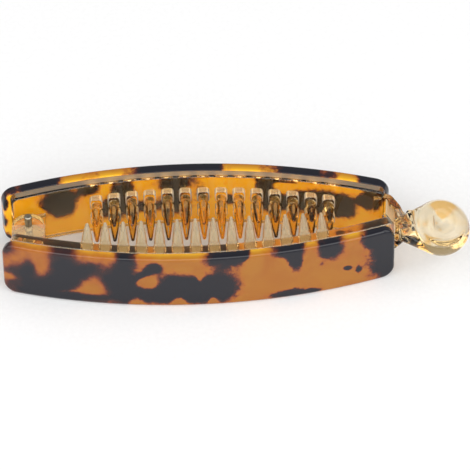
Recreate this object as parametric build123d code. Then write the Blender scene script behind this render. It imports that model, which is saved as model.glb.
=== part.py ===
"""Hinged hair clip: two bowed covers, each on a clear comb, with a pin hinge and a snap catch.

Axes: X runs along the clip from the hinge end to the thumb knob, Y is the direction in which it
opens, and Z is up, with the long edges of both bars resting on Z = 0.  The front half lies on the
-Y side: its cover, comb, teeth, lugs and neck are drawn on the +Y side, as the rear ones are, and
then mirrored.  The knob and the nose of the tongue are drawn in place.
"""
from build123d import *
import math
import os

os.makedirs("parts", exist_ok=True)

# Both bars, in millimetres
BAR_HEIGHT = 16.7
BOW_RADIUS = 159.0              # outer face of a cover, seen from above
BOW_APEX_X = -11.5              # where the closed clip is widest
HALF_WIDTH = 17.5               # middle plane to the outer face at the apex
BAR_THICKNESS = 5.4             # a cover and its comb together
GLUE_LINE = 0.04                # between a cover and its comb

COVER_START_X = {"front": -59.0, "rear": -59.5}
COVER_LENGTH = 99.3
COVER_THICKNESS = {"front": 2.4, "rear": 3.0}
COVER_CORNER = 3.4
COVER_OUTER_EDGE = 0.9
COVER_INNER_EDGE = 0.45

COMB_START_INSET = {"front": 2.0, "rear": 2.6}
COMB_END_INSET = {"front": 0.2, "rear": 1.3}
COMB_CORNER = 1.6
COMB_OUTER_EDGE = 0.3
COMB_INNER_EDGE = 0.9

# Teeth, in an upper and a lower row on each comb; the front rows are the higher ones
TOOTH_COUNT = 14                # in each row
TOOTH_PITCH = 4.56
FIRST_TOOTH_X = {"front": -37.4, "rear": -35.12}
TOOTH_ROWS_Z = {"front": (13.7, 8.4), "rear": (11.0, 5.7)}
TOOTH_ROOT_RADIUS = {"front": 1.5, "rear": 1.25}
TOOTH_TIP_RADIUS = 0.45
TOOTH_TIP_REACH = {             # past the middle plane, at the first and the last tooth
    "front": (-0.6, 0.7),
    "rear": (-0.8, -0.3),
}
BELLY_PLACE = 0.62              # share of the tooth's length
BELLY_THINNING = 0.38           # share of the taper that is done there
BOSS_WIDTH = 3.3
BOSS_HEIGHT = 4.0
BOSS_DEPTH = 1.8
BOSS_CORNER = 1.1
BOSS_EDGE = 0.45
ROOT_OVERLAP = 2.0              # drawn this far into the comb, then cut off at its face

# Pin hinge
HINGE_X = -52.2
LUG_RADIUS = 4.2
LUG_TOP_Z = 13.3
LUG_THICKNESS = 3.1
LUG_GAP = 0.25                  # between one knuckle and the next
PIN_RADIUS = 0.95
PIN_END_INSET = 0.35
PIN_SEAT_GAP = 0.02
PIN_RUNNING_GAP = 0.08
PIN_CHAMFER = 0.2

# Spring tongue with its thumb knob
NECK_ROOT_GAP = 0.04
NECK_ROOT_OVERLAP = 1.5
NECK_END_X = 46.6
NECK_TOP_Z = 15.5
NECK_ROOT_HEIGHT = 9.0
NECK_TIP_HEIGHT = 5.4
NECK_TAPER_X = 43.4
NECK_EDGE = 0.5
KNOB_CENTRE = (51.9, -4.6, 12.4)
KNOB_RADIUS = 7.4
KNOB_BELOW = 4.9
KNOB_RIM_HEIGHT = 3.2
KNOB_RIM_RADIUS = 5.9
KNOB_DISH_RADIUS = 5.2
KNOB_DISH_DEPTH = 1.4
KNOB_LEAN_FORWARD = 24.0        # degrees, towards -Y
KNOB_LEAN_SIDEWAYS = 8.0        # degrees, towards +X
THROAT_CENTRE = (-4.7, 12.6)    # Y and Z
THROAT_ENDS_X = (43.35, 47.6)   # at the neck, and inside the knob
THROAT_HALF_WIDTHS = (3.9, 6.0)
THROAT_HALF_DEPTHS = (2.7, 3.1)

# Catch, which clears the nose by a hair so that the clip can open with the tongue at rest
CATCH_LOW_Z = 8.6
CATCH_HIGH_Z = 14.9
ARM_THICKNESS = 1.8
ARM_ROOT_OVERLAP = 1.5
ARM_ROOT_INSET = 0.3            # from the comb's inner face
ARM_ROUTE = ((39.3, 4.6), (41.1, 1.2), (42.0, -1.8))     # on from the end of the comb
ARM_BENDS = (1.1, 5.0)
BEAD_RADIUS = 1.15
NOSE_CENTRE = (44.35, -0.5)
NOSE_RADIUS = 1.0
NOSE_WEB_THICKNESS = 1.3
NOSE_INSET_Z = 0.6
RIB_X = 36.4
RIB_WIDTH = 2.0
RIB_DEPTH = 1.2
RIB_LOW_Z = 5.6
RIB_HIGH_Z = 15.2
RIB_EDGE = 0.3

BOW_CENTRE_Y = HALF_WIDTH - BOW_RADIUS
INNER_RADIUS = BOW_RADIUS - BAR_THICKNESS
LUG_LOW_Z = BAR_HEIGHT - LUG_TOP_Z
TOLERANCE = 0.02                # for picking edges by their place


def on_bow(radius, degrees):
    """Point at a radius from the bow's centre, turned clockwise from +Y."""
    turn = math.radians(degrees)
    return (BOW_APEX_X + radius * math.sin(turn), BOW_CENTRE_Y + radius * math.cos(turn))


def bow_angle(x, radius):
    return math.degrees(math.asin((x - BOW_APEX_X) / radius))


def inner_face_y(x):
    """Y of the bar's inner face at an X."""
    return BOW_CENTRE_Y + math.sqrt(INNER_RADIUS ** 2 - (x - BOW_APEX_X) ** 2)


def edges_at_radius(solid, radius):
    """The edges of a bowed bar that lie on one of its two long faces."""
    found = []
    for edge in solid.edges():
        middle = edge @ 0.5
        reach = math.hypot(middle.X - BOW_APEX_X, middle.Y - BOW_CENTRE_Y)
        if abs(reach - radius) < TOLERANCE:
            found.append(edge)
    return found


def bowed_bar(outer_radius, thickness, start_x, end_x, corner, outer_edge, inner_edge):
    """Upright bar along the bow, with radial ends, rounded corners and rounded edges."""
    inner_radius = outer_radius - thickness
    start = bow_angle(start_x, outer_radius)
    end = bow_angle(end_x, outer_radius)
    middle = (start + end) / 2
    outline = make_face([
        ThreePointArc(*[on_bow(outer_radius, turn) for turn in (start, middle, end)]),
        Line(on_bow(outer_radius, end), on_bow(inner_radius, end)),
        ThreePointArc(*[on_bow(inner_radius, turn) for turn in (end, middle, start)]),
        Line(on_bow(inner_radius, start), on_bow(outer_radius, start)),
    ])
    bar = extrude(outline, amount=BAR_HEIGHT, dir=(0, 0, 1))
    across = [edge for edge in bar.edges()
              if edge.geom_type == GeomType.LINE and abs(edge.length - thickness) < TOLERANCE]
    bar = fillet(across, corner)
    bar = fillet(edges_at_radius(bar, outer_radius), outer_edge)
    return fillet(edges_at_radius(bar, inner_radius), inner_edge)


def place(shape, side):
    """Rear-side shape, mirrored to the front half if that is where it belongs."""
    return mirror(shape, about=Plane.XZ) if side == "front" else shape


def inside_bow(shape):
    """What is left of a shape on the inner side of the bar's inner face."""
    room = Pos(BOW_APEX_X, BOW_CENTRE_Y, -1) * Cylinder(
        INNER_RADIUS, BAR_HEIGHT + 2, align=(Align.CENTER, Align.CENTER, Align.MIN))
    return shape & room


def cover(side):
    start_x = COVER_START_X[side]
    return bowed_bar(BOW_RADIUS, COVER_THICKNESS[side], start_x, start_x + COVER_LENGTH,
                     COVER_CORNER, COVER_OUTER_EDGE, COVER_INNER_EDGE)


def comb_span(side):
    start_x = COVER_START_X[side] + COMB_START_INSET[side]
    end_x = COVER_START_X[side] + COVER_LENGTH - COMB_END_INSET[side]
    return start_x, end_x


def comb_outer_radius(side):
    return BOW_RADIUS - COVER_THICKNESS[side] - GLUE_LINE


def comb_back(side):
    """The curved bar that carries the teeth."""
    start_x, end_x = comb_span(side)
    outer_radius = comb_outer_radius(side)
    return bowed_bar(outer_radius, outer_radius - INNER_RADIUS, start_x, end_x,
                     COMB_CORNER, COMB_OUTER_EDGE, COMB_INNER_EDGE)


def tooth(side, index, row_z):
    """Round-nosed tooth on a square boss; it points across the clip at the other comb."""
    x = FIRST_TOOTH_X[side] + index * TOOTH_PITCH
    first_reach, last_reach = TOOTH_TIP_REACH[side]
    reach = first_reach + (last_reach - first_reach) * index / (TOOTH_COUNT - 1)
    root_y = inner_face_y(x)
    root_radius = TOOTH_ROOT_RADIUS[side]
    length = root_y + reach

    boss = Pos(x, root_y + ROOT_OVERLAP, row_z) * Rot(90, 0, 0) * Box(
        BOSS_WIDTH, BOSS_HEIGHT, BOSS_DEPTH + ROOT_OVERLAP,
        align=(Align.CENTER, Align.CENTER, Align.MIN))
    boss = fillet(boss.edges().filter_by(Axis.Y), BOSS_CORNER)
    boss = fillet(boss.faces().sort_by(Axis.Y)[0].edges(), BOSS_EDGE)

    nose_start = length - TOOTH_TIP_RADIUS
    belly_radius = root_radius - (root_radius - TOOTH_TIP_RADIUS) * BELLY_THINNING
    half_way = TOOTH_TIP_RADIUS * math.sqrt(0.5)
    profile = make_face([
        Line((0, -ROOT_OVERLAP), (root_radius, -ROOT_OVERLAP)),
        Line((root_radius, -ROOT_OVERLAP), (root_radius, BOSS_DEPTH)),
        ThreePointArc((root_radius, BOSS_DEPTH), (belly_radius, BELLY_PLACE * length),
                      (TOOTH_TIP_RADIUS, nose_start)),
        ThreePointArc((TOOTH_TIP_RADIUS, nose_start), (half_way, nose_start + half_way), (0, length)),
        Line((0, length), (0, -ROOT_OVERLAP)),
    ])
    shaft = revolve(Plane.XZ * profile, axis=Axis.Z)
    shaft = Pos(x, root_y, row_z) * Rot(90, 0, 0) * shaft
    return inside_bow(boss + shaft)


def tooth_pair(side, index):
    """The upper and the lower tooth at one place along the comb."""
    return Compound([place(tooth(side, index, row_z), side) for row_z in TOOTH_ROWS_Z[side]])


def lug(low_z, high_z, bore_gap):
    """D-shaped knuckle from the comb to the middle plane, bored for the pin."""
    height = high_z - low_z
    low = (Align.CENTER, Align.CENTER, Align.MIN)
    reach_y = inner_face_y(HINGE_X) + ROOT_OVERLAP
    body = Cylinder(LUG_RADIUS, height, align=low)
    body += Box(2 * LUG_RADIUS, reach_y, height, align=(Align.CENTER, Align.MIN, Align.MIN))
    body -= Cylinder(PIN_RADIUS + bore_gap, height, align=low)
    return inside_bow(Pos(HINGE_X, 0, low_z) * body)


def hinge_pin():
    length = BAR_HEIGHT - 2 * PIN_END_INSET
    rod = Cylinder(PIN_RADIUS, length, align=(Align.CENTER, Align.CENTER, Align.MIN))
    rod = chamfer(rod.edges().filter_by(GeomType.CIRCLE), PIN_CHAMFER)
    return Pos(HINGE_X, 0, PIN_END_INSET) * rod


def past_comb_end(side, gap):
    """The space beyond the clasp end of a comb, from a gap away from its end face."""
    end_angle = bow_angle(comb_span(side)[1], comb_outer_radius(side))
    room = Pos(gap, 0, 0) * Box(BOW_RADIUS, 2 * BOW_RADIUS, BAR_HEIGHT,
                                align=(Align.MIN, Align.MIN, Align.MIN))
    return Pos(BOW_APEX_X, BOW_CENTRE_Y, 0) * Rot(0, 0, -end_angle) * room


def neck():
    """Spring tongue that carries the knob on from the end of the front comb."""
    end_x = comb_span("front")[1]
    outer_y = BOW_CENTRE_Y + math.sqrt(comb_outer_radius("front") ** 2 - (end_x - BOW_APEX_X) ** 2)
    inner_y = inner_face_y(end_x)
    low_z = NECK_TOP_Z - NECK_TIP_HEIGHT
    outline = Plane.XZ * make_face(Polyline(
        (end_x - NECK_ROOT_OVERLAP, NECK_TOP_Z),
        (NECK_END_X, NECK_TOP_Z),
        (NECK_END_X, low_z),
        (NECK_TAPER_X, low_z),
        (end_x, NECK_TOP_Z - NECK_ROOT_HEIGHT),
        (end_x - NECK_ROOT_OVERLAP, NECK_TOP_Z - NECK_ROOT_HEIGHT),
        close=True))
    body = Pos(0, inner_y, 0) * extrude(outline, amount=outer_y - inner_y, dir=(0, 1, 0))
    body = fillet(body.edges().filter_by(Axis.X), NECK_EDGE)
    return body & past_comb_end("front", NECK_ROOT_GAP)


def cap_middle(rim_radius, height):
    """Half way along a shallow ball-shaped cap: its radius there, and its rise from the centre."""
    ball_radius = (rim_radius ** 2 + height ** 2) / (2 * height)
    half_turn = math.asin(rim_radius / ball_radius) / 2
    return ball_radius * math.sin(half_turn), ball_radius * (1 - math.cos(half_turn))


def throat():
    """Flare between the neck and the knob, oval, with the lean of the knob."""
    lean = math.radians(KNOB_LEAN_FORWARD)
    sections = []
    for x, half_width, half_depth in zip(THROAT_ENDS_X, THROAT_HALF_WIDTHS, THROAT_HALF_DEPTHS):
        plane = Plane(origin=(x, *THROAT_CENTRE), x_dir=(0, math.cos(lean), math.sin(lean)), z_dir=(1, 0, 0))
        sections.append(plane * Ellipse(half_width, half_depth))
    return loft(sections)


def knob():
    """Round thumb pad with a dished face, leaning towards the user, on a flared throat."""
    base_middle, base_rise = cap_middle(KNOB_RIM_RADIUS, KNOB_BELOW - KNOB_RIM_HEIGHT)
    dish_middle, dish_rise = cap_middle(KNOB_DISH_RADIUS, KNOB_DISH_DEPTH)
    dish_floor = KNOB_RIM_HEIGHT - KNOB_DISH_DEPTH
    rim_low = (KNOB_RIM_RADIUS, -KNOB_RIM_HEIGHT)
    rim_high = (KNOB_RIM_RADIUS, KNOB_RIM_HEIGHT)
    face = make_face([
        ThreePointArc((0, -KNOB_BELOW), (base_middle, base_rise - KNOB_BELOW), rim_low),
        ThreePointArc(rim_low, (KNOB_RADIUS, 0), rim_high),
        Line(rim_high, (KNOB_DISH_RADIUS, KNOB_RIM_HEIGHT)),
        ThreePointArc((KNOB_DISH_RADIUS, KNOB_RIM_HEIGHT), (dish_middle, dish_floor + dish_rise),
                      (0, dish_floor)),
        Line((0, dish_floor), (0, -KNOB_BELOW)),
    ])
    pad = revolve(Plane.XZ * face, axis=Axis.Z)
    pad = Pos(*KNOB_CENTRE) * Rot(KNOB_LEAN_FORWARD, 0, 0) * Rot(0, KNOB_LEAN_SIDEWAYS, 0) * pad
    return pad + throat()


def catch_arm():
    """Bent arm from the end of the rear comb across to the tongue, with a bead along its tip."""
    height = CATCH_HIGH_Z - CATCH_LOW_Z
    root_angle = bow_angle(comb_span("rear")[1] - ARM_ROOT_OVERLAP, comb_outer_radius("rear"))
    root = on_bow(INNER_RADIUS + ARM_ROOT_INSET + ARM_THICKNESS / 2, root_angle)
    route = Pos(0, 0, CATCH_LOW_Z + height / 2) * FilletPolyline(
        root, *ARM_ROUTE, radius=list(ARM_BENDS))
    section = Plane(origin=route @ 0, x_dir=(0, 0, 1), z_dir=route % 0) * Rectangle(
        height, ARM_THICKNESS)
    arm = sweep(section, path=route)
    tip_x, tip_y = ARM_ROUTE[-1]
    bead = Pos(tip_x, tip_y, CATCH_LOW_Z) * Cylinder(
        BEAD_RADIUS, height, align=(Align.CENTER, Align.CENTER, Align.MIN))
    return (arm + bead) & past_comb_end("rear", 0)


def tongue_nose(neck_body):
    """Round-ended nose on the back of the tongue, which stops the bead of the arm."""
    x, y = NOSE_CENTRE
    back_y = neck_body.bounding_box().max.Y
    height = CATCH_HIGH_Z - CATCH_LOW_Z - 2 * NOSE_INSET_Z
    low = (Align.CENTER, Align.CENTER, Align.MIN)
    nose = Pos(x, y, 0) * Cylinder(NOSE_RADIUS, height, align=low)
    web_x = x + NOSE_RADIUS - NOSE_WEB_THICKNESS / 2
    nose += Pos(web_x, (y + back_y) / 2, 0) * Box(NOSE_WEB_THICKNESS, y - back_y, height, align=low)
    return Pos(0, 0, CATCH_LOW_Z + NOSE_INSET_Z) * nose


def end_rib(comb):
    """Upright rib inside the clasp end of the rear comb."""
    low_y = inner_face_y(RIB_X) - RIB_DEPTH
    rib = Pos(RIB_X, low_y, (RIB_LOW_Z + RIB_HIGH_Z) / 2) * Box(
        RIB_WIDTH, RIB_DEPTH + ROOT_OVERLAP, RIB_HIGH_Z - RIB_LOW_Z,
        align=(Align.CENTER, Align.MIN, Align.CENTER))
    rib = fillet(rib.faces().sort_by(Axis.Y)[0].edges(), RIB_EDGE)
    return rib - comb


front_neck = place(neck(), "front")
thumb_knob = knob()
parts = {
    "hinge_pin": hinge_pin(),
    "front_upper_lug": place(lug(LUG_TOP_Z - LUG_THICKNESS, LUG_TOP_Z, PIN_SEAT_GAP), "front"),
    "front_lower_lug": place(lug(LUG_LOW_Z, LUG_LOW_Z + LUG_THICKNESS, PIN_SEAT_GAP), "front"),
    "rear_lug": lug(LUG_LOW_Z + LUG_THICKNESS + LUG_GAP, LUG_TOP_Z - LUG_THICKNESS - LUG_GAP,
                    PIN_RUNNING_GAP),
    "thumb_knob": thumb_knob,
    "tongue_neck": front_neck - thumb_knob,
    "tongue_nose": tongue_nose(front_neck) - thumb_knob,
    "catch_arm": catch_arm(),
}
for side in ("front", "rear"):
    parts[side + "_cover"] = place(cover(side), side)
    parts[side + "_comb_back"] = place(comb_back(side), side)
    for index in range(TOOTH_COUNT):
        parts[f"{side}_teeth_{index + 1:02d}"] = tooth_pair(side, index)
parts["rear_end_rib"] = end_rib(parts["rear_comb_back"])

for name, shape in parts.items():
    export_step(shape, f"parts/{name}.step")
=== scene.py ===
import math

import bmesh
import bpy
import numpy as np
from mathutils import Matrix, Vector


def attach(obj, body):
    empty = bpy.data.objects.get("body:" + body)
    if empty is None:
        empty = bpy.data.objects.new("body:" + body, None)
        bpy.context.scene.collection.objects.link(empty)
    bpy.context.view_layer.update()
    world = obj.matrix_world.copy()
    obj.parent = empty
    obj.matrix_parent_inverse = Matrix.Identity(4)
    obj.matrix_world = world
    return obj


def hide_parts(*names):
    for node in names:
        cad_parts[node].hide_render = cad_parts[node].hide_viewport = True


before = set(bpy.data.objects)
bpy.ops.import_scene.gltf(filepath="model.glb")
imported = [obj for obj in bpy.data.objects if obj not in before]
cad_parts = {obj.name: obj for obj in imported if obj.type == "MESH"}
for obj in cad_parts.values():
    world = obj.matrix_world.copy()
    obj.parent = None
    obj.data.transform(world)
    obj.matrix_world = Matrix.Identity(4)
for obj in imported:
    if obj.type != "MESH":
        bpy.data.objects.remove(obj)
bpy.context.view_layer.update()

MM = 0.001

# Sizes of the clip, in millimetres, as its CAD model has them
BAR_HEIGHT = 16.7
BOW_RADIUS = 159.0
BOW_APEX_X = -11.5
HALF_WIDTH = 17.5
BAR_THICKNESS = 5.4
BOW_CENTRE_Y = HALF_WIDTH - BOW_RADIUS
INNER_RADIUS = BOW_RADIUS - BAR_THICKNESS

COVER_START_X = {"front": -59.0, "rear": -59.5}
COVER_LENGTH = 99.3
COVER_THICKNESS = {"front": 2.4, "rear": 3.0}
COVER_CORNER = 3.4
COVER_OUTER_EDGE = 0.9
COVER_INNER_EDGE = 0.45
COMB_START_INSET = {"front": 2.0, "rear": 2.6}
COMB_END_INSET = {"front": 0.2, "rear": 1.3}
COMB_CORNER = 1.6
COMB_OUTER_EDGE = 0.3
COMB_INNER_EDGE = 0.9
GLUE_GAP = {"front": -0.03, "rear": 0.04}    # the front comb is sunk into its cover, the rear one only held

TOOTH_COUNT = 14
TOOTH_PITCH = 4.56
FIRST_TOOTH_X = {"front": -37.4, "rear": -35.12}
TOOTH_ROWS_Z = {"front": (13.7, 8.4), "rear": (11.0, 5.7)}
TOOTH_ROOT_RADIUS = {"front": 1.5, "rear": 1.25}
TOOTH_TIP_RADIUS = 0.45
TOOTH_TIP_REACH = {             # past the middle plane, at the first and the last tooth
    "front": (-0.6, 0.7),
    "rear": (-0.8, -0.3),
}
BELLY_PLACE = 0.62              # share of the tooth's length
BELLY_THINNING = 0.38           # share of the taper that is done there
BOSS_WIDTH = 3.3
BOSS_HEIGHT = 4.0
BOSS_DEPTH = 1.8
BOSS_CORNER = 1.1
BOSS_EDGE = 0.45
ROOT_DEPTH = 1.0                # how far teeth, lugs and ribs run into the comb

HINGE_X = -52.2
LUG_RADIUS = 4.2
LUG_TOP_Z = 13.3
LUG_THICKNESS = 3.1
LUG_GAP = 0.25
LUG_EDGE = 0.25
PIN_RADIUS = 0.95
PIN_SEAT_GAP = 0.02
PIN_RUNNING_GAP = 0.08
BORE_LOW_Z = 0.5                # and as far below the top

NECK_END_X = 49.0
NECK_TOP_Z = 15.5
NECK_ROOT_HEIGHT = 9.0
NECK_TIP_HEIGHT = 5.4
NECK_TAPER_X = 43.4
NECK_EDGE = 0.5
NECK_ROOT_GAP = 0.05            # between the comb's end and the tongue
KNOB_CENTRE = (51.9, -4.6, 12.4)
KNOB_RADIUS = 7.4
KNOB_BELOW = 4.9
KNOB_RIM_HEIGHT = 3.2
KNOB_RIM_RADIUS = 5.9
KNOB_DISH_RADIUS = 5.2
KNOB_DISH_DEPTH = 1.4
KNOB_RIM_BREAK = 0.12           # small bevel between its side and its face
KNOB_LEAN_FORWARD = 24.0
KNOB_LEAN_SIDEWAYS = 8.0
THROAT_CENTRE = (-4.7, 12.6)
THROAT_ENDS_X = (43.35, 47.6)
THROAT_HALF_WIDTHS = (3.9, 6.0)
THROAT_HALF_DEPTHS = (2.7, 3.1)
THROAT_STEPS = 7                # between those ends
THROAT_STEPS_BEFORE = 3         # more of the same steps into the neck
THROAT_STEPS_AFTER = 4          # and into the knob
THROAT_POWER = 0.75             # 1 is an ellipse, less is squarer

CATCH_LOW_Z = 8.6
CATCH_HIGH_Z = 14.9
CATCH_EDGE = 0.25
ARM_THICKNESS = 1.8
ARM_ROOT_OVERLAP = 2.0          # along the comb
ARM_ROUTE = ((39.3, 4.6), (41.1, 1.2), (42.0, -1.8))
ARM_BENDS = (1.1, 5.0)
BEAD_RADIUS = 1.15
NOSE_CENTRE = (44.35, -0.5)
NOSE_RADIUS = 1.0
NOSE_WEB_THICKNESS = 1.3
NOSE_WEB_OVERLAP = 0.6          # into the neck
NOSE_WEB_EDGE = 0.2
NOSE_INSET_Z = 0.6
RIB_X = 36.4
RIB_WIDTH = 2.0
RIB_DEPTH = 1.2
RIB_LOW_Z = 5.6
RIB_HIGH_Z = 15.2
RIB_EDGE = 0.3

# Mesh detail
FACE_MARGIN = 0.04              # from a rounded edge to the first ring on the flat face, in mm
MITRE_LIMIT = 0.4               # keeps an inset point near its corner
AXIS_RADIUS = 0.05              # of the smallest ring of a turned shape, in mm
TOOTH_END_RADIUS = 0.04
TOOTH_SIDES = 28
LUG_SIDES = 36
ROUND_SIDES = 48
KNOB_SIDES = 72
WELD_DISTANCE = 0.002           # in mm
SHARPEST_SMOOTH_ANGLE = 34.0    # in degrees
TONGUE_VOXEL = 0.2              # in mm
TONGUE_SMOOTHING = 14           # rounds

# Dark patches of the tortoiseshell: centre X and Z, half length, half height, tilt in degrees, weight
FRONT_PATCHES = (
    (-57.9, 15.9, 2.0, 1.9, 30, 1.0),
    (-54.8, 8.4, 4.3, 1.9, 12, 1.0),
    (-52.2, 10.6, 1.5, 2.5, 0, 1.0),
    (-52.0, 3.9, 6.3, 2.9, 0, 1.0),
    (-46.0, 5.9, 5.6, 2.4, 0, 1.0),
    (-43.6, 14.6, 3.1, 4.2, 0, 1.0),
    (-42.0, 9.6, 5.4, 3.6, 0, 1.0),
    (-37.2, 12.2, 3.2, 1.8, 32, 1.0),
    (-38.2, 2.5, 6.4, 0.9, 3, 0.8),
    (-45.0, 1.0, 12.0, 1.9, 0, 0.95),
    (-31.2, 9.2, 3.1, 4.1, 0, 1.0),
    (-27.7, 15.0, 2.5, 4.2, 0, 1.0),
    (-27.6, 5.6, 4.2, 4.5, 0, 1.0),
    (-23.6, 11.3, 3.9, 1.0, 38, 1.0),
    (-20.9, 13.7, 1.9, 1.7, 0, 1.0),
    (-15.4, 7.6, 5.6, 4.1, 0, 1.0),
    (-4.0, 6.8, 4.5, 4.5, 0, 1.0),
    (-9.5, 4.8, 6.0, 3.6, 0, 1.0),
    (-21.5, 3.8, 6.0, 2.4, 0, 1.0),
    (-2.8, 16.4, 4.5, 3.2, 0, 1.0),
    (1.6, 16.4, 1.5, 0.9, 0, 0.7),
    (12.9, 16.4, 4.4, 1.9, 0, 0.85),
    (14.7, 12.9, 1.7, 3.4, 12, 1.0),
    (23.7, 14.9, 3.3, 3.2, 0, 1.0),
    (21.5, 10.2, 0.6, 0.9, 0, 0.5),
    (28.0, 7.0, 1.2, 0.8, -20, 1.0),
    (30.8, 5.4, 0.7, 1.7, 10, 0.55),
    (13.0, 1.5, 4.5, 1.4, 0, 1.0),
    (19.2, 1.1, 2.2, 0.8, 0, 0.8),
    (40.2, 8.4, 5.6, 10.5, 0, 1.3),
    (36.0, 15.2, 3.6, 2.9, 0, 1.0),
)
FRONT_ISLANDS = (
    (-57.4, 6.1, 1.9, 1.1, 0, 0.9),
    (-49.3, 11.0, 1.9, 4.6, 0, 0.6),
    (-43.5, 3.4, 5.6, 0.4, 14, 0.35),
    (-36.4, 6.0, 2.6, 2.4, 50, 0.9),
    (-22.8, 8.3, 2.4, 1.9, 0, 1.0),
    (-9.3, 9.4, 0.9, 2.4, 0, 0.6),
    (-25.5, 1.8, 1.5, 2.1, 0, 1.0),
    (-14.8, 1.6, 1.4, 2.4, 0, 1.0),
    (-6.1, 1.3, 1.0, 1.9, 0, 1.0),
    (-20.4, 4.7, 2.2, 0.5, -15, 0.5),
    (-13.8, 4.9, 1.9, 0.4, 0, 0.45),
)
REAR_PATCHES = (
    (-59.2, 7.6, 1.4, 2.2, 0, 0.9),
    (-58.8, 1.2, 1.8, 2.0, 0, 0.9),
    (-58.3, 13.6, 0.8, 2.2, 0, 1.0),
    (-57.0, 16.9, 1.4, 0.8, 0, 0.8),
    (-51.6, 17.0, 2.9, 1.2, 0, 1.0),
    (-47.2, 17.0, 2.4, 1.2, 0, 1.0),
    (-45.2, 12.7, 4.0, 2.8, 0, 1.0),
    (-44.4, 9.2, 3.1, 3.0, 0, 1.0),
    (-36.9, 14.2, 2.5, 2.0, 20, 0.9),
    (-28.3, 12.6, 2.8, 2.4, 0, 1.0),
    (-30.2, 6.4, 4.6, 3.6, 0, 0.95),
    (-22.0, 6.0, 2.4, 2.0, 0, 0.7),
    (-21.4, 17.2, 4.6, 1.3, 0, 1.0),
    (-13.2, 17.1, 4.2, 1.3, 0, 1.0),
    (-14.6, 13.7, 4.2, 2.3, 0, 1.0),
    (-15.2, 6.8, 3.4, 4.0, 0, 1.0),
    (-5.2, 16.8, 3.0, 1.6, 0, 1.0),
    (-8.0, 9.0, 1.6, 3.0, 0, 0.8),
    (-1.0, 7.4, 1.9, 1.6, 0, 0.9),
    (7.9, 12.6, 2.0, 3.0, 0, 1.0),
    (12.4, 14.6, 4.6, 0.5, 0, 0.7),
    (16.8, 17.2, 6.2, 1.3, 0, 1.0),
    (10.0, 7.2, 3.6, 3.4, 0, 1.0),
    (17.6, 8.4, 3.4, 3.6, 0, 1.0),
    (23.0, 8.6, 3.2, 4.0, 0, 1.0),
    (28.2, 8.0, 3.2, 3.8, 0, 1.0),
    (25.5, 17.1, 1.6, 0.6, 0, 0.5),
    (33.4, 17.1, 2.3, 1.1, 0, 1.0),
    (34.5, 11.4, 2.6, 2.3, 15, 1.0),
    (36.4, 14.6, 2.2, 2.4, 0, 1.0),
    (39.6, 16.0, 1.6, 3.0, 0, 1.0),
)
REAR_ISLANDS = (
    (-17.9, 17.0, 0.9, 1.6, 0, 0.35),
)


# ---------------------------------------------------------------- shapes, in millimetres

# Covers and combs are drawn on the rear side, where Y is positive, and new_object mirrors those of the
# front half. The tongue, with its knob and nose, is drawn in place.

def on_bow(radius, turn):
    """X and Y on an arc of the rear bow; the turn is in radians from its highest point."""
    return BOW_APEX_X + radius * math.sin(turn), BOW_CENTRE_Y + radius * math.cos(turn)


def bow_turn(x, radius):
    return math.asin((x - BOW_APEX_X) / radius)


def inner_face_y(x):
    return BOW_CENTRE_Y + math.sqrt(INNER_RADIUS ** 2 - (x - BOW_APEX_X) ** 2)


def comb_outer_radius(side):
    return BOW_RADIUS - COVER_THICKNESS[side] - GLUE_GAP[side]


def join_rings(rings):
    """Vertices and faces of a tube through rings of the same length, closed at both ends."""
    count = len(rings[0])
    points = [tuple(point) for ring in rings for point in ring]
    faces = []
    for level in range(len(rings) - 1):
        low, high = level * count, (level + 1) * count
        for index in range(count):
            after = (index + 1) % count
            faces.append((low + index, low + after, high + after, high + index))
    faces.append(tuple(range(count)))
    faces.append(tuple(range(len(points) - count, len(points))))
    return points, faces


def edge_steps(thickness, first_edge, last_edge, turns, walls):
    """Inset and depth of each ring of a slab with rounded edges, from one face to the other."""
    steps = [(first_edge + FACE_MARGIN, 0.0)]
    for index in range(turns + 1):
        angle = math.pi / 2 * index / turns
        steps.append((first_edge * (1 - math.sin(angle)), first_edge * (1 - math.cos(angle))))
    room = thickness - first_edge - last_edge
    for index in range(1, walls):
        steps.append((0.0, first_edge + room * index / walls))
    for index in range(turns + 1):
        angle = math.pi / 2 * index / turns
        steps.append((last_edge * (1 - math.cos(angle)), thickness - last_edge * (1 - math.sin(angle))))
    steps.append((last_edge + FACE_MARGIN, thickness))
    return steps


def bar_columns(start, end, height, corner, inset, columns, bends):
    """Place along the bar, lowest and highest Z of each column of a rounded rectangle."""
    corner = corner - inset
    left = start + inset
    right = end - inset
    top = height - inset
    found = []
    for index in range(bends):
        angle = math.pi / 2 * index / bends
        rise = corner * (1 - math.sin(angle))
        found.append((left + corner * (1 - math.cos(angle)), inset + rise, top - rise))
    for index in range(columns + 1):
        along = left + corner + (right - left - 2 * corner) * index / columns
        found.append((along, inset, top))
    for index in range(1, bends + 1):
        angle = math.pi / 2 * (1 - index / bends)
        rise = corner * (1 - math.sin(angle))
        found.append((right - corner * (1 - math.cos(angle)), inset + rise, top - rise))
    return found


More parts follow.
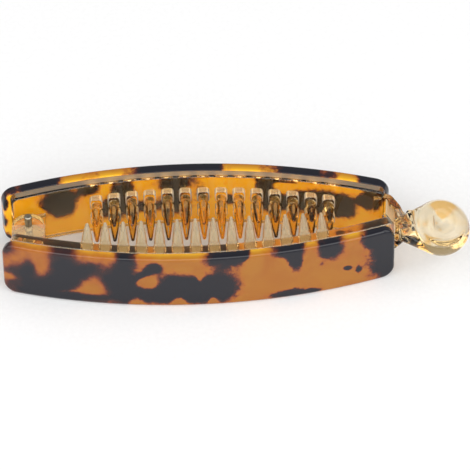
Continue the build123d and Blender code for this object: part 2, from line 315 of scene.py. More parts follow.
def bowed_bar(outer_radius, inner_radius, start_x, end_x, corner, outer_edge, inner_edge,
              columns, rows, bends, turns, walls):
    """Upright bar along the rear bow; both long faces are grids of quads."""
    start = bow_turn(start_x, outer_radius) * outer_radius
    end = bow_turn(end_x, outer_radius) * outer_radius
    points = []
    faces = []

    def spot(along, z, depth):
        radius = outer_radius - depth
        x, y = on_bow(radius, along / outer_radius)
        points.append((x, y, z))
        return len(points) - 1

    rings = []
    steps = edge_steps(outer_radius - inner_radius, outer_edge, inner_edge, turns, walls)
    for number, (inset, depth) in enumerate(steps):
        spans = bar_columns(start, end, BAR_HEIGHT, corner, inset, columns, bends)
        last = len(spans) - 1
        grid = {}
        whole = number in (0, len(steps) - 1)
        for i, (along, low, high) in enumerate(spans):
            for j in range(rows + 1):
                if whole or i in (0, last) or j in (0, rows):
                    grid[i, j] = spot(along, low + (high - low) * j / rows, depth)
        ring = [grid[i, rows] for i in range(last + 1)]
        ring += [grid[last, j] for j in range(rows - 1, -1, -1)]
        ring += [grid[i, 0] for i in range(last - 1, -1, -1)]
        ring += [grid[0, j] for j in range(1, rows)]
        rings.append(ring)
        if whole:
            for i in range(last):
                for j in range(rows):
                    faces.append((grid[i, j], grid[i + 1, j], grid[i + 1, j + 1], grid[i, j + 1]))
    for ring, after in zip(rings, rings[1:]):
        count = len(ring)
        for index in range(count):
            nxt = (index + 1) % count
            faces.append((ring[index], ring[nxt], after[nxt], after[index]))
    return points, faces


def offset(outline, distance):
    """A closed outline moved inwards; it runs anticlockwise."""
    pts = np.array(outline, float)
    before = pts - np.roll(pts, 1, axis=0)
    after = np.roll(pts, -1, axis=0) - pts
    before /= np.linalg.norm(before, axis=1)[:, None]
    after /= np.linalg.norm(after, axis=1)[:, None]
    inward = np.stack([-(before + after)[:, 1], (before + after)[:, 0]], axis=1)
    size = np.linalg.norm(inward, axis=1)
    inward /= size[:, None]
    reach = np.maximum(size / 2, MITRE_LIMIT)
    return pts + inward * (distance / reach)[:, None]


def slab(outline, low, high, edge, turns=3):
    """Upright prism over an outline, with rounded edges."""
    rings = []
    for inset, depth in edge_steps(high - low, edge, edge, turns, 1):
        ring = offset(outline, inset)
        rings.append([(x, y, low + depth) for x, y in ring])
    return join_rings(rings)


def turned(profile, segments):
    """Solid of revolution about Z through points of radius and height."""
    rings = []
    for radius, height in profile:
        rings.append([(radius * math.cos(2 * math.pi * k / segments),
                       radius * math.sin(2 * math.pi * k / segments), height)
                      for k in range(segments)])
    return join_rings(rings)


def arc(centre, radius, first, last, count):
    """Points of an arc, ends included, with angles in degrees."""
    out = []
    for index in range(count + 1):
        angle = math.radians(first + (last - first) * index / count)
        out.append((centre[0] + radius * math.cos(angle), centre[1] + radius * math.sin(angle)))
    return out


def circle(centre, radius):
    """Closed outline of 24 points."""
    return arc(centre, radius, 0, 345, 23)


def rounded_rectangle(width, height, corner, count=5):
    """Closed outline around the origin, with that many steps in each corner."""
    out = []
    for sx, sy, first in ((1, -1, -90), (1, 1, 0), (-1, 1, 90), (-1, -1, 180)):
        centre = (sx * (width / 2 - corner), sy * (height / 2 - corner))
        out += arc(centre, corner, first, first + 90, count)
    return out


def moved(shape, change):
    """A shape with every point changed by a function."""
    points, faces = shape
    return [change(*point) for point in points], faces


def tooth_shapes(side, index, row_z):
    """Boss and shaft of one tooth, on the rear side."""
    x = FIRST_TOOTH_X[side] + index * TOOTH_PITCH
    first_reach, last_reach = TOOTH_TIP_REACH[side]
    reach = first_reach + (last_reach - first_reach) * index / (TOOTH_COUNT - 1)
    root_y = inner_face_y(x)
    root_radius = TOOTH_ROOT_RADIUS[side]
    length = root_y + reach
    outline = rounded_rectangle(BOSS_WIDTH, BOSS_HEIGHT, BOSS_CORNER)
    boss = slab(outline, -ROOT_DEPTH, BOSS_DEPTH, BOSS_EDGE)
    tip_start = length - TOOTH_TIP_RADIUS
    belly = root_radius - (root_radius - TOOTH_TIP_RADIUS) * BELLY_THINNING
    knots = np.array([BOSS_DEPTH, BELLY_PLACE * length, tip_start])
    taper = np.polyfit(knots, [root_radius, belly, TOOTH_TIP_RADIUS], 2)
    profile = [(root_radius, -ROOT_DEPTH), (root_radius, BOSS_DEPTH - 0.1)]
    profile += [(float(np.polyval(taper, h)), float(h)) for h in np.linspace(BOSS_DEPTH, tip_start, 9)]
    for step in range(1, 5):
        angle = math.pi / 2 * step / 5
        profile.append((TOOTH_TIP_RADIUS * math.cos(angle), tip_start + TOOTH_TIP_RADIUS * math.sin(angle)))
    profile.append((TOOTH_END_RADIUS, length))
    shaft = turned(profile, TOOTH_SIDES)

    def lay(a, b, c):
        return x + a, root_y - c, row_z + b

    return [moved(boss, lay), moved(shaft, lay)]


def lug_shape(low, high):
    """D-shaped knuckle of the hinge, not yet bored."""
    far = inner_face_y(HINGE_X) + ROOT_DEPTH
    outline = arc((HINGE_X, 0.0), LUG_RADIUS, 180, 360, LUG_SIDES)
    outline += [(HINGE_X + LUG_RADIUS, far), (HINGE_X - LUG_RADIUS, far)]
    return slab(outline, low, high, LUG_EDGE)


def bore_shape(gap):
    """Round rod that cuts the hole for the pin through all lugs of one half."""
    radius = PIN_RADIUS + gap
    rod = turned([(radius, BORE_LOW_Z), (radius, BAR_HEIGHT - BORE_LOW_Z)], ROUND_SIDES)
    return moved(rod, lambda x, y, z: (x + HINGE_X, y, z))


def comb_end_x(side):
    """X of the clasp end of a comb."""
    return COVER_START_X[side] + COVER_LENGTH - COMB_END_INSET[side]


def comb_bar(side):
    """Back of a comb, without its teeth and lugs."""
    start_x = COVER_START_X[side] + COMB_START_INSET[side]
    return bowed_bar(comb_outer_radius(side), INNER_RADIUS, start_x, comb_end_x(side), COMB_CORNER,
                     COMB_OUTER_EDGE, COMB_INNER_EDGE, columns=96, rows=1, bends=6, turns=5, walls=1)


def fillet_path(points, bends, count=6):
    """Open route with its corners rounded to the bend radii."""
    out = [points[0]]
    for number in range(1, len(points) - 1):
        corner = Vector(points[number])
        back = (Vector(points[number - 1]) - corner).normalized()
        on = (Vector(points[number + 1]) - corner).normalized()
        half = math.acos(max(-1, min(1, back.dot(on)))) / 2
        radius = bends[number - 1]
        reach = radius / math.tan(half)
        middle = corner + (back + on).normalized() * (radius / math.sin(half))
        first = corner + back * reach - middle
        last = corner + on * reach - middle
        for step in range(count + 1):
            way = first.lerp(last, step / count).normalized() * radius
            out.append(tuple(middle + way))
    out.append(points[-1])
    return out


def ribbon(path, thickness):
    """Anticlockwise outline of a route with a thickness."""
    pts = np.array(path, float)
    along = np.gradient(pts, axis=0)
    along /= np.linalg.norm(along, axis=1)[:, None]
    across = np.stack([-along[:, 1], along[:, 0]], axis=1) * thickness / 2
    right = [tuple(p) for p in pts - across]
    left = [tuple(p) for p in pts + across]
    return right + left[::-1]


def arm_shapes():
    """Arm of the catch, from the end of the rear comb, and the bead along its edge."""
    end_turn = bow_turn(comb_end_x("rear"), comb_outer_radius("rear"))
    root_turn = end_turn - ARM_ROOT_OVERLAP / INNER_RADIUS
    root = on_bow(INNER_RADIUS + COMB_OUTER_EDGE + ARM_THICKNESS / 2, root_turn)
    path = fillet_path([root, *ARM_ROUTE], ARM_BENDS)
    arm = slab(ribbon(path, ARM_THICKNESS), CATCH_LOW_Z, CATCH_HIGH_Z, CATCH_EDGE)
    bead = slab(circle(ARM_ROUTE[-1], BEAD_RADIUS), CATCH_LOW_Z, CATCH_HIGH_Z, CATCH_EDGE)
    return [arm, bead]


def rib_shape():
    """Upright rib on the rear comb, between the last tooth and the catch."""
    root_y = inner_face_y(RIB_X)
    outline = [(RIB_X - RIB_WIDTH / 2, root_y - RIB_DEPTH), (RIB_X + RIB_WIDTH / 2, root_y - RIB_DEPTH),
               (RIB_X + RIB_WIDTH / 2, root_y + ROOT_DEPTH), (RIB_X - RIB_WIDTH / 2, root_y + ROOT_DEPTH)]
    return slab(outline, RIB_LOW_Z, RIB_HIGH_Z, RIB_EDGE)


def neck_shapes():
    """Tongue from the end of the front comb to the knob, the nose behind it and the web between them."""
    end_x = comb_end_x("front")
    outer = comb_outer_radius("front")
    outer_y = BOW_CENTRE_Y + math.sqrt(outer ** 2 - (end_x - BOW_APEX_X) ** 2)
    inner_y = inner_face_y(end_x)
    low_z = NECK_TOP_Z - NECK_TIP_HEIGHT
    root_x = end_x + NECK_ROOT_GAP
    outline = [(root_x, NECK_TOP_Z - NECK_ROOT_HEIGHT), (NECK_TAPER_X, low_z), (NECK_END_X, low_z),
               (NECK_END_X, NECK_TOP_Z), (root_x, NECK_TOP_Z)]
    neck = moved(slab(outline, -outer_y, -inner_y, NECK_EDGE), lambda a, b, c: (a, c, b))
    low, high = CATCH_LOW_Z + NOSE_INSET_Z, CATCH_HIGH_Z - NOSE_INSET_Z
    nose = slab(circle(NOSE_CENTRE, NOSE_RADIUS), low, high, CATCH_EDGE)
    web_x = NOSE_CENTRE[0] + NOSE_RADIUS - NOSE_WEB_THICKNESS / 2
    near, far = web_x - NOSE_WEB_THICKNESS / 2, web_x + NOSE_WEB_THICKNESS / 2
    web_root_y = -inner_y - NOSE_WEB_OVERLAP
    outline = [(near, web_root_y), (far, web_root_y), (far, NOSE_CENTRE[1]), (near, NOSE_CENTRE[1])]
    web = slab(outline, low, high, NOSE_WEB_EDGE)
    return [neck, nose, web]


def cap_points(rim_radius, height, count):
    """Radius and rise along a shallow ball-shaped cap, from its middle to its rim."""
    ball = (rim_radius ** 2 + height ** 2) / (2 * height)
    whole = math.asin(rim_radius / ball)
    return [(ball * math.sin(whole * k / count), ball * (1 - math.cos(whole * k / count)))
            for k in range(count + 1)]


def knob_shape():
    """Round thumb pad with a dished face."""
    profile = []
    for radius, rise in cap_points(KNOB_RIM_RADIUS, KNOB_BELOW - KNOB_RIM_HEIGHT, 10):
        profile.append((max(radius, AXIS_RADIUS), rise - KNOB_BELOW))
    bulge = KNOB_RADIUS - KNOB_RIM_RADIUS
    side_ball = (KNOB_RIM_HEIGHT ** 2 + bulge ** 2) / (2 * bulge)
    for step in range(1, 20):
        height = KNOB_RIM_HEIGHT * math.sin(math.pi / 2 * (step / 10 - 1))
        profile.append((KNOB_RADIUS - side_ball + math.sqrt(side_ball ** 2 - height ** 2), height))
    profile.append((KNOB_RIM_RADIUS, KNOB_RIM_HEIGHT - KNOB_RIM_BREAK))
    profile.append((KNOB_RIM_RADIUS - KNOB_RIM_BREAK, KNOB_RIM_HEIGHT))
    for step in range(1, 15):
        share = 1 - step / 14
        sink = KNOB_DISH_DEPTH * (0.5 + 0.5 * math.cos(math.pi * share))
        profile.append((max(KNOB_DISH_RADIUS * share, AXIS_RADIUS), KNOB_RIM_HEIGHT - sink))
    points, faces = turned(profile, KNOB_SIDES)
    lean = (Matrix.Translation(KNOB_CENTRE)
            @ Matrix.Rotation(math.radians(KNOB_LEAN_FORWARD), 4, "X")
            @ Matrix.Rotation(math.radians(KNOB_LEAN_SIDEWAYS), 4, "Y"))
    return [tuple(lean @ Vector(point)) for point in points], faces


def squarish(value):
    """A sine or cosine pushed outwards, which turns an ellipse into a squarer oval."""
    return math.copysign(abs(value) ** THROAT_POWER, value)


def throat_shape():
    """Flare between the neck and the knob, a squarish oval with the lean of the knob."""
    lean = math.radians(KNOB_LEAN_FORWARD)
    rings = []
    for step in range(-THROAT_STEPS_BEFORE, THROAT_STEPS + THROAT_STEPS_AFTER + 1):
        share = step / THROAT_STEPS
        x = THROAT_ENDS_X[0] + share * (THROAT_ENDS_X[1] - THROAT_ENDS_X[0])
        width = THROAT_HALF_WIDTHS[0] + share * (THROAT_HALF_WIDTHS[1] - THROAT_HALF_WIDTHS[0])
        depth = THROAT_HALF_DEPTHS[0] + share * (THROAT_HALF_DEPTHS[1] - THROAT_HALF_DEPTHS[0])
        ring = []
        for k in range(ROUND_SIDES):
            around = 2 * math.pi * k / ROUND_SIDES
            along = width * squarish(math.cos(around))
            rise = depth * squarish(math.sin(around))
            ring.append((x, THROAT_CENTRE[0] + along * math.cos(lean) - rise * math.sin(lean),
                         THROAT_CENTRE[1] + along * math.sin(lean) + rise * math.cos(lean)))
        rings.append(ring)
    return join_rings(rings)


# ---------------------------------------------------------------- meshes

def new_object(name, shape, flip=False):
    """Mesh object in metres from a shape in millimetres; flip mirrors it to the front half."""
    points, faces = shape
    sign = -1 if flip else 1
    mesh = bpy.data.meshes.new(name)
    mesh.from_pydata([(x * MM, sign * y * MM, z * MM) for x, y, z in points], [], faces)
    work = bmesh.new()
    work.from_mesh(mesh)
    bmesh.ops.recalc_face_normals(work, faces=work.faces)
    work.to_mesh(mesh)
    work.free()
    piece = bpy.data.objects.new(name, mesh)
    bpy.context.scene.collection.objects.link(piece)
    return piece


def evaluated_mesh(piece):
    """Its mesh with the modifiers applied."""
    graph = bpy.context.evaluated_depsgraph_get()
    return bpy.data.meshes.new_from_object(piece.evaluated_get(graph))


def combine(base, others, operation):
    """Applies one boolean of the base with a list of objects, which are then removed."""
    group = bpy.data.collections.new("operands")
    bpy.context.scene.collection.children.link(group)
    for other in others:
        bpy.context.scene.collection.objects.unlink(other)
        group.objects.link(other)
    change = base.modifiers.new("boolean", "BOOLEAN")
    change.operation = operation
    change.operand_type = "COLLECTION"
    change.collection = group
    change.solver = "EXACT"
    mesh = evaluated_mesh(base)
    base.modifiers.clear()
    base.data = mesh
    for other in others:
        bpy.data.objects.remove(other)
    bpy.data.collections.remove(group)


def smooth(piece):
    """Smooth shading, with the sharper edges kept sharp."""
    limit = math.radians(SHARPEST_SMOOTH_ANGLE)
    work = bmesh.new()
    work.from_mesh(piece.data)
    bmesh.ops.remove_doubles(work, verts=work.verts, dist=WELD_DISTANCE * MM)
    bmesh.ops.recalc_face_normals(work, faces=work.faces)
    for edge in work.edges:
        edge.smooth = len(edge.link_faces) == 2 and edge.calc_face_angle(0.0) < limit
    for face in work.faces:
        face.smooth = True
    work.to_mesh(piece.data)
    work.free()


# ---------------------------------------------------------------- materials

ACRYLIC_IOR = 1.49

# Tortoiseshell
PATCH_EDGE = 0.5                # value of the patch field on the edge of a patch
PATCH_FALLOFF = 2.4
WIDE_WAVER = 0.45               # how far broad and fine noise move that edge
FINE_WAVER = 0.16
BLURRED_X = -50.0               # in front the edges are blurred here
SHARP_X = -2.0                  # and sharp from here on, in mm
BLURRED_SHARPNESS = 0.30
INNER_POWER = 1.5               # how the sheet turns from its outer colour to the lighter inner colour, which is painted light
PAINTED_INNER_GLOW = 0.45            # painted glow on the inner face, for the light that comes through the sheet
PAINTED_GLOW_POWER = 8.0               # keeps that painted glow near the inner face

# Comb; a haze is the share of the light that the surface scatters back, and on the rear teeth's feet and the
# rear rim it is painted light
# The comb's amber is stronger than the tongue's, though both are one plastic: partly its own tint, partly
# painted light for the amber light inside the clip
COMB_ABSORBED = (0.96, 0.68, 0.06, 1)
COMB_DENSITY = 110.0
RIM_BAND = (BAR_HEIGHT - 0.08, BAR_HEIGHT - 0.01)      # the top face starts to show between these
RIM_ROUGHNESS = 0.6
# the rim's pale band is painted light; its roughness is a frosted finish
RIM_PAINTED_LIGHT = 0.12
FRONT_HAZE = 0.16
CAP_PAINTED_LIGHT = 0.25                 # painted light on top of the rear teeth's feet
CAP_UPWARD = 0.7                # least Z of the normal there
PAINTED_GLINT = 0.35               # painted glints on the sides of those feet
GLINT_SIDEWAYS = 0.35           # least X of the normal there
FEET_SPAN_X = (HINGE_X + 10.0, RIB_X - 8.0)    # where the rear teeth's feet are, in mm
FEET_TOP_Z = BAR_HEIGHT - 1.2
FEET_RADIUS = INNER_RADIUS - BOSS_DEPTH - 0.1
REFLECTED_AMBER_POWER = 3.0
REFLECTED_AMBER_SHARE = 0.85              # of brown, a painted reflection of the amber sheets, where a face looks along the comb

# Tongue
TONGUE_ABSORBED = (0.92, 0.72, 0.25, 1)
TONGUE_DENSITY = 70.0
STREAK_Z = 9.6                  # height of the orange streaks in the thumb pad, in mm
STREAK_FADE = 55.0              # how fast they fade above and below, per metre
SWIRL_SCALE = 46.0
SWIRL_DISTORTION = 9.0
SWIRL_DEPTH = 0.0022            # in metres


class Shading:
    """A material with a Principled shader, and one short call for each kind of node that feeds it."""

    def __init__(self, name):
        self.material = bpy.data.materials.new(name)
        self.material.use_nodes = True
        self.nodes = self.material.node_tree.nodes
        self.links = self.material.node_tree.links
        self.nodes.clear()
        self.output = self.nodes.new("ShaderNodeOutputMaterial")
        self.shader = self.nodes.new("ShaderNodeBsdfPrincipled")
        self.links.new(self.shader.outputs["BSDF"], self.output.inputs["Surface"])
        texture = self.nodes.new("ShaderNodeTexCoord")
        self.coords = texture.outputs["Object"]
        self.normal = texture.outputs["Normal"]

    def feed(self, socket, value):
        """Links what another node gives, or sets a constant."""
        if isinstance(value, bpy.types.NodeSocket):
            self.links.new(value, socket)
        else:
            socket.default_value = value

    def put(self, name, value):
        """The same, on the shader."""
        self.feed(self.shader.inputs[name], value)

    def node(self, kind, **values):
        """New node with its inputs set; an underscore stands for a space in an input's name."""
        made = self.nodes.new(kind)
        for name, value in values.items():
            self.feed(made.inputs[name.replace("_", " ")], value)
        return made

    def noise(self, scale, detail, roughness=0.5, distortion=0.0, coords=None):
        made = self.node("ShaderNodeTexNoise", Scale=scale, Detail=detail, Roughness=roughness,
                         Distortion=distortion, Vector=self.coords if coords is None else coords)
        return made.outputs["Fac"]

    def attribute(self, name):
        made = self.node("ShaderNodeAttribute")
        made.attribute_name = name
        return made.outputs["Fac"]

    def split(self, vector):
        return self.node("ShaderNodeSeparateXYZ", Vector=vector).outputs

    def maths(self, operation, first, second=0.0):
        made = self.node("ShaderNodeMath")
        made.operation = operation
        self.feed(made.inputs[0], first)
        self.feed(made.inputs[1], second)
        return made.outputs[0]

    def product(self, first, *others):
        for other in others:
            first = self.maths("MULTIPLY", first, other)
        return first

    def vectors(self, operation, first, second):
        made = self.node("ShaderNodeVectorMath")
        made.operation = operation
        self.feed(made.inputs[0], first)
        self.feed(made.inputs[1], second)
        return made.outputs

    def spread(self, value, low, high, start=0.0, end=1.0):
        """A value between start and end, stretched to a range and held inside it."""
        made = self.node("ShaderNodeMapRange", Value=value, From_Min=start, From_Max=end,
                         To_Min=low, To_Max=high)
        return made.outputs["Result"]

    def ramp(self, value, *stops):
        """Colour by a value, through stops of position and colour."""
        made = self.node("ShaderNodeValToRGB", Fac=value)
        bar = made.color_ramp.elements
        while len(bar) > 1:
            bar.remove(bar[-1])
        bar[0].position = stops[0][0]
        for position, _ in stops[1:]:
            bar.new(position)
        for element, (_, colour) in zip(bar, stops):
            element.color = (*colour, 1)
        return made.outputs["Color"]

    def blend(self, share, first, second):
        """First colour where the share is 0, second where it is 1."""
        mix = self.node("ShaderNodeMix")
        mix.data_type = "RGBA"
        inputs = {socket.identifier: socket for socket in mix.inputs}
        for name, value in (("Factor_Float", share), ("A_Color", first), ("B_Color", second)):
            self.feed(inputs[name], value)
        return [socket for socket in mix.outputs if socket.identifier == "Result_Color"][0]

    def bump(self, height, strength, distance):
        made = self.node("ShaderNodeBump", Height=height, Strength=strength, Distance=distance)
        self.put("Normal", made.outputs["Normal"])

    def absorb(self, colour, density):
        inside = self.node("ShaderNodeVolumeAbsorption", Color=colour, Density=density)
        self.links.new(inside.outputs["Volume"], self.output.inputs["Volume"])


def tortoiseshell():
    """Amber sheet with dark patches, from two values that its mesh holds at each point:
    patch, how dark it is, and inner, which is 1 on the inner face. There the amber is painted
    lighter and glows a little: painted light for the light that comes through the sheet."""
    made = Shading("tortoiseshell")
    inner = made.attribute("inner")
    place = made.split(made.coords)
    wide = made.noise(300.0, 3.0, 0.6, 0.5)
    fine = made.noise(1100.0, 4.0, 0.6)
    level = made.maths("ADD", made.attribute("patch"), made.spread(wide, -WIDE_WAVER, WIDE_WAVER))
    level = made.maths("ADD", level, made.spread(fine, -FINE_WAVER, FINE_WAVER))
    sharpness = made.spread(place["X"], BLURRED_SHARPNESS, 1.0, BLURRED_X * MM, SHARP_X * MM)
    sharpness = made.product(sharpness, made.spread(made.noise(90.0, 2.0), 0.4, 1.5))
    at_rear = made.maths("GREATER_THAN", place["Y"], 0.0)
    sharpness = made.maths("MAXIMUM", at_rear, sharpness)
    past_edge = made.maths("SUBTRACT", level, PATCH_EDGE)
    level = made.maths("ADD", PATCH_EDGE, made.product(past_edge, sharpness))

    hue = made.noise(110.0, 3.0, 0.55, 0.8)
    outer_amber = made.ramp(hue, (0.3, (0.36, 0.110, 0.006)), (0.7, (0.40, 0.150, 0.010)))
    # The lighter amber of the inner face is painted light, for light that comes through the sheet
    lit_inner_amber = made.ramp(hue, (0.3, (0.82, 0.38, 0.010)), (0.7, (0.90, 0.50, 0.020)))
    amber = made.blend(inner, outer_amber, lit_inner_amber)
    stained = made.ramp(level, (0.20, (0, 0, 0)), (0.52, (1, 1, 1)))
    stain = made.ramp(level, (0.32, (0.42, 0.10, 0.012)), (0.46, (0.19, 0.032, 0.012)),
                      (0.58, (0.040, 0.011, 0.010)), (0.74, (0.006, 0.006, 0.012)))
    colour = made.blend(stained, amber, stain)
    made.put("Base Color", colour)
    # The emission is a painted glow on the inner face, not a lamp
    made.put("Emission Color", colour)
    made.put("Emission Strength", made.product(made.maths("POWER", inner, PAINTED_GLOW_POWER), PAINTED_INNER_GLOW))
    made.put("Roughness", made.spread(fine, 0.04, 0.12))
    made.put("IOR", ACRYLIC_IOR)
    made.bump(wide, 0.03, 0.0002)
    return made.material


def rear_tooth_feet(made, place):
    """1 on the feet of the rear teeth: close to the inner face, between the lug and the catch."""
    level = made.vectors("MULTIPLY", made.coords, (1.0, 1.0, 0.0))["Vector"]
    bow_centre = (BOW_APEX_X * MM, BOW_CENTRE_Y * MM, 0.0)
    radius = made.vectors("DISTANCE", level, bow_centre)["Value"]
    foot = made.maths("GREATER_THAN", radius, FEET_RADIUS * MM)
    for operation, axis, limit in (
            ("LESS_THAN", "X", FEET_SPAN_X[1]), ("GREATER_THAN", "X", FEET_SPAN_X[0]),
            ("LESS_THAN", "Z", FEET_TOP_Z), ("GREATER_THAN", "Y", 0.0)):
        foot = made.product(foot, made.maths(operation, place[axis], limit * MM))
    return foot


def comb_plastic():
    """Clear moulding, hazy on the front comb, with painted light: brown sides that are a painted reflection
    of the amber sheets, cream tops and glints on the rear teeth's feet, and a pale band on the rear comb's
    rim.
    """
    made = Shading("clear_plastic")
    place = made.split(made.coords)
    facing = made.split(made.normal)
    flow = made.noise(260.0, 2.0, 0.5, 1.2)
    rim = made.spread(place["Z"], 0.0, 1.0, RIM_BAND[0] * MM, RIM_BAND[1] * MM)
    below_rim = made.maths("SUBTRACT", 1.0, rim)
    at_rear = made.maths("GREATER_THAN", place["Y"], 0.0)
    at_front = made.maths("SUBTRACT", 1.0, at_rear)
    # The rear comb's rim: rough, and pale with painted light
    frost_and_rim_light = made.product(rim, at_rear)
    foot = rear_tooth_feet(made, place)
    sideways = made.maths("ABSOLUTE", facing["X"])
    # Painted light: the upward faces of the rear teeth's feet are made cream and milky
    cap = made.product(made.maths("GREATER_THAN", facing["Z"], CAP_UPWARD), foot)
    # Painted glints: the sides of the rear teeth's feet are made milky
    glint = made.product(made.maths("GREATER_THAN", sideways, GLINT_SIDEWAYS), foot)
    # Brown on faces that look along the comb is a painted reflection of the amber sheets beside them
    reflected_amber = made.product(made.maths("POWER", sideways, REFLECTED_AMBER_POWER), REFLECTED_AMBER_SHARE,
                         made.maths("SUBTRACT", 1.0, foot))

    pale = made.ramp(flow, (0.3, (1.0, 0.96, 0.80)), (0.7, (1.0, 0.94, 0.75)))
    lit_cream = made.ramp(flow, (0.3, (1.0, 0.84, 0.52)), (0.7, (1.0, 0.80, 0.46)))
    reflected_brown = made.ramp(flow, (0.3, (0.78, 0.42, 0.12)), (0.7, (0.70, 0.34, 0.08)))
    made.put("Base Color", made.blend(reflected_amber, made.blend(cap, pale, lit_cream), reflected_brown))
    haze = made.product(at_front, below_rim, FRONT_HAZE)
    for where, share in ((frost_and_rim_light, RIM_PAINTED_LIGHT), (cap, CAP_PAINTED_LIGHT), (glint, PAINTED_GLINT)):
        haze = made.maths("ADD", haze, made.product(where, share))
    made.put("Transmission Weight", made.maths("SUBTRACT", 1.0, haze))
    polish = made.spread(flow, 0.01, 0.05)
    made.put("Roughness", made.maths("ADD", made.product(frost_and_rim_light, RIM_ROUGHNESS), polish))
    made.put("IOR", ACRYLIC_IOR)
    made.bump(flow, 0.04, 0.0003)
    made.absorb(COMB_ABSORBED, COMB_DENSITY)
    return made.material


def tongue_plastic():
    """Clear moulding with flow rings around the thumb pad and orange streaks at one height."""
    made = Shading("pale_plastic")
    height = made.split(made.coords)["Z"]
    from_streak = made.maths("ABSOLUTE", made.maths("SUBTRACT", height, STREAK_Z * MM))
    streak = made.noise(110.0, 1.0, 0.4, 1.8)
    streak = made.maths("SUBTRACT", streak, made.product(from_streak, STREAK_FADE))
    made.put("Base Color", made.ramp(streak, (0.30, (1.0, 0.97, 0.91)), (0.40, (0.99, 0.86, 0.62)),
                                     (0.50, (0.98, 0.50, 0.10))))
    made.put("Transmission Weight", 1.0)
    made.put("Roughness", made.spread(made.noise(260.0, 2.0, 0.5, 1.2), 0.01, 0.05))
    made.put("IOR", ACRYLIC_IOR)
    from_knob = made.vectors("SUBTRACT", made.coords, [place * MM for place in KNOB_CENTRE])["Vector"]
    rings = made.node("ShaderNodeTexWave", Vector=from_knob, Scale=SWIRL_SCALE,
                      Distortion=SWIRL_DISTORTION, Detail=1.0, Detail_Scale=0.4)
    rings.wave_type = "RINGS"
    rings.rings_direction = "SPHERICAL"
    made.bump(rings.outputs["Fac"], 0.7, SWIRL_DEPTH)
    made.absorb(TONGUE_ABSORBED, TONGUE_DENSITY)
    return made.material


def pin_metal():
    """Dull metal, brushed along the pin."""
    made = Shading("pin_metal")
    brushed = made.node("ShaderNodeMapping", Vector=made.coords, Scale=(1.0, 1.0, 0.06))
    grain = made.noise(9000.0, 3.0, coords=brushed.outputs["Vector"])
    made.put("Base Color", made.ramp(grain, (0.3, (0.26, 0.23, 0.17)), (0.7, (0.42, 0.39, 0.31))))
    made.put("Metallic", 1.0)
    made.put("Roughness", made.spread(grain, 0.18, 0.38))
    made.bump(grain, 0.15, 0.00005)
    return made.material


def floor_material():
    """Matt pale paper that glows a little, to keep the background near white."""
    made = Shading("studio_floor")
    grain = made.noise(900.0, 3.0)
    made.put("Base Color", made.ramp(grain, (0.3, (0.80, 0.80, 0.80)), (0.7, (0.83, 0.83, 0.83))))
    made.put("Roughness", 0.9)
    made.put("Specular IOR Level", 0.0)
    made.put("Emission Color", (1, 1, 1, 1))
    made.put("Emission Strength", 0.10)
    return made.material


def patch_values(points, patches, islands):
    """How dark the sheet is at each point, above PATCH_EDGE inside a patch."""
    total = np.zeros(len(points))
    for group, sign in ((patches, 1.0), (islands, -1.0)):
        for x, z, half_x, half_z, tilt, weight in group:
            turn = math.radians(tilt)
            dx = points[:, 0] - x
            dz = points[:, 2] - z
            along = dx * math.cos(turn) + dz * math.sin(turn)
            across = dz * math.cos(turn) - dx * math.sin(turn)
            reach = np.sqrt((along / half_x) ** 2 + (across / half_z) ** 2)
            total += sign * weight * np.exp(-math.log(2) * reach ** PATCH_FALLOFF)
    return total


# ---------------------------------------------------------------- pieces

SHELL = tortoiseshell()
CLEAR = comb_plastic()
PALE = tongue_plastic()
METAL = pin_metal()


def finish_piece(piece, material, body, nodes):
    """Material, shading and body, and hides the CAD nodes that the piece stands for."""
    piece.data.materials.clear()
    piece.data.materials.append(material)
    smooth(piece)
    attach(piece, body)
    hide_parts(*nodes)


for side, patches, islands in (("front", FRONT_PATCHES, FRONT_ISLANDS), ("rear", REAR_PATCHES, REAR_ISLANDS)):
    start_x = COVER_START_X[side]
    shape = bowed_bar(BOW_RADIUS, BOW_RADIUS - COVER_THICKNESS[side], start_x, start_x + COVER_LENGTH,
                      COVER_CORNER, COVER_OUTER_EDGE, COVER_INNER_EDGE,
                      columns=230, rows=36, bends=12, turns=5, walls=4)
    piece = new_object(side + "_shell", shape, flip=side == "front")
    finish_piece(piece, SHELL, side + "_half", [side + "_cover"])
    mesh = piece.data
    spots = np.zeros(len(mesh.vertices) * 3)
    mesh.vertices.foreach_get("co", spots)
    spots = spots.reshape(-1, 3) / MM
    values = patch_values(spots, patches, islands)
    depths = BOW_RADIUS - np.hypot(spots[:, 0] - BOW_APEX_X, np.abs(spots[:, 1]) - BOW_CENTRE_Y)
    # inner marks where the sheet gets its painted light: a lighter amber and a faint glow
    inner = np.clip(depths / COVER_THICKNESS[side], 0, 1) ** INNER_POWER
    for label, numbers in (("patch", values), ("inner", inner)):
        attribute = mesh.attributes.new(label, "FLOAT", "POINT")
        attribute.data.foreach_set("value", numbers.astype(np.float32))

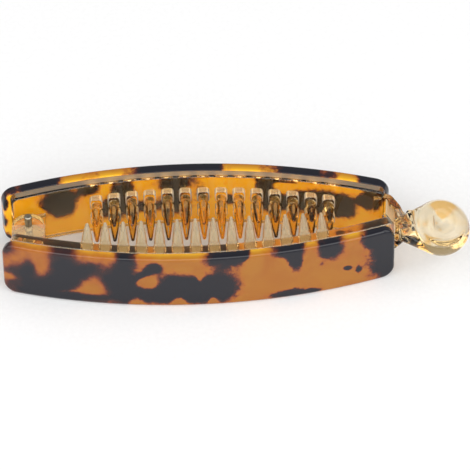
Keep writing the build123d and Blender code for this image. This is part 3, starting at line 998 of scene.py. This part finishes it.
for side in ("front", "rear"):
    flip = side == "front"
    piece = new_object(side + "_comb", comb_bar(side), flip)
    extras = [shape for row_z in TOOTH_ROWS_Z[side] for index in range(TOOTH_COUNT)
              for shape in tooth_shapes(side, index, row_z)]
    lug_low = BAR_HEIGHT - LUG_TOP_Z
    if flip:
        spans = ((lug_low, lug_low + LUG_THICKNESS), (LUG_TOP_Z - LUG_THICKNESS, LUG_TOP_Z))
        own = ["front_comb_back", "front_upper_lug", "front_lower_lug"]
        gap = PIN_SEAT_GAP
    else:
        spans = ((lug_low + LUG_THICKNESS + LUG_GAP, LUG_TOP_Z - LUG_THICKNESS - LUG_GAP),)
        own = ["rear_comb_back", "rear_lug", "catch_arm", "rear_end_rib"]
        gap = PIN_RUNNING_GAP
        extras += arm_shapes()
        extras.append(rib_shape())
    extras += [lug_shape(low, high) for low, high in spans]
    tools = [new_object(f"tool_{n}", shape, flip) for n, shape in enumerate(extras)]
    combine(piece, tools, "UNION")
    combine(piece, [new_object("bore", bore_shape(gap), flip)], "DIFFERENCE")
    own += [f"{side}_teeth_{number:02d}" for number in range(1, TOOTH_COUNT + 1)]
    finish_piece(piece, CLEAR, side + "_half", own)

neck, nose, web = neck_shapes()
tongue = new_object("spring_tongue", neck)
tongue_parts = {"nose": nose, "web": web, "knob": knob_shape(), "throat": throat_shape()}
combine(tongue, [new_object("tool_" + name, shape) for name, shape in tongue_parts.items()], "UNION")
# The remesh and the smoothing melt the joined shapes into one moulding
change = tongue.modifiers.new("remesh", "REMESH")
change.mode = "VOXEL"
change.voxel_size = TONGUE_VOXEL * MM
change = tongue.modifiers.new("smooth", "SMOOTH")
change.factor = 0.5
change.iterations = TONGUE_SMOOTHING
mesh = evaluated_mesh(tongue)
tongue.modifiers.clear()
tongue.data = mesh
finish_piece(tongue, PALE, "thumb_tongue", ["tongue_neck", "tongue_nose", "thumb_knob"])

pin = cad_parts["hinge_pin"]
pin.data.materials.clear()
pin.data.materials.append(METAL)

# ---------------------------------------------------------------- studio

FLOOR_REACH = 6000.0
FLOOR_GAP = 0.02                # below the clip, so that no two faces share a place

floor_corners = [(x * FLOOR_REACH, y * FLOOR_REACH, 0) for x, y in ((-1, -1), (1, -1), (1, 1), (-1, 1))]
floor = new_object("floor", (floor_corners, [(0, 1, 2, 3)]))
floor.location.z = -FLOOR_GAP * MM
floor.data.materials.append(floor_material())

world = bpy.data.worlds.new("studio")
bpy.context.scene.world = world
world.use_nodes = True
background = world.node_tree.nodes["Background"]
background.inputs["Color"].default_value = (1.0, 1.0, 1.0, 1)
background.inputs["Strength"].default_value = 0.40


def area_light(name, place, size, power):
    """Rectangular soft light, aimed at the clip."""
    data = bpy.data.lights.new(name, "AREA")
    data.shape = "RECTANGLE"
    data.size, data.size_y = size
    data.energy = power
    lamp = bpy.data.objects.new(name, data)
    bpy.context.scene.collection.objects.link(lamp)
    lamp.location = place
    lamp.rotation_euler = (-Vector(place)).to_track_quat("-Z", "Y").to_euler()


area_light("left_softbox", (-1.5, -0.5, 1.3), (2.0, 2.0), 18.5)
area_light("right_softbox", (1.5, -0.3, 1.3), (2.0, 2.0), 18.5)
area_light("front_softbox", (0.2, -1.6, 1.35), (2.6, 1.6), 27.0)

# ---------------------------------------------------------------- camera

IMAGE_SIDE = 470
FOCAL_PIXELS = 3933.0           # at the distance below
CAMERA_DISTANCE = 1.0
CAMERA_AZIMUTH = math.radians(1.1)
CAMERA_ELEVATION = math.radians(45.0)
CAMERA_ROLL = math.radians(0.97)
CAMERA_TARGET = Vector((0.0, 0.0, 7.4 * MM))

forward = Vector((math.sin(CAMERA_AZIMUTH) * math.cos(CAMERA_ELEVATION),
                  math.cos(CAMERA_AZIMUTH) * math.cos(CAMERA_ELEVATION), -math.sin(CAMERA_ELEVATION)))
level = Vector((math.cos(CAMERA_AZIMUTH), -math.sin(CAMERA_AZIMUTH), 0.0))
upward = level.cross(forward)
right = level * math.cos(CAMERA_ROLL) - upward * math.sin(CAMERA_ROLL)
upward = level * math.sin(CAMERA_ROLL) + upward * math.cos(CAMERA_ROLL)
lens = bpy.data.cameras.new("camera")
lens.sensor_width = 36.0
lens.lens = FOCAL_PIXELS / IMAGE_SIDE * lens.sensor_width
lens.clip_start = 0.05
lens.clip_end = 50.0
camera = bpy.data.objects.new("camera", lens)
bpy.context.scene.collection.objects.link(camera)
camera.matrix_world = Matrix.Translation(CAMERA_TARGET - forward * CAMERA_DISTANCE) @ Matrix(
    (right, upward, -forward)).transposed().to_4x4()
bpy.context.scene.camera = camera

scene = bpy.context.scene
scene.view_settings.view_transform = "Standard"
scene.cycles.max_bounces = 24
scene.cycles.transmission_bounces = 20
scene.cycles.transparent_max_bounces = 16
scene.cycles.use_denoising = True
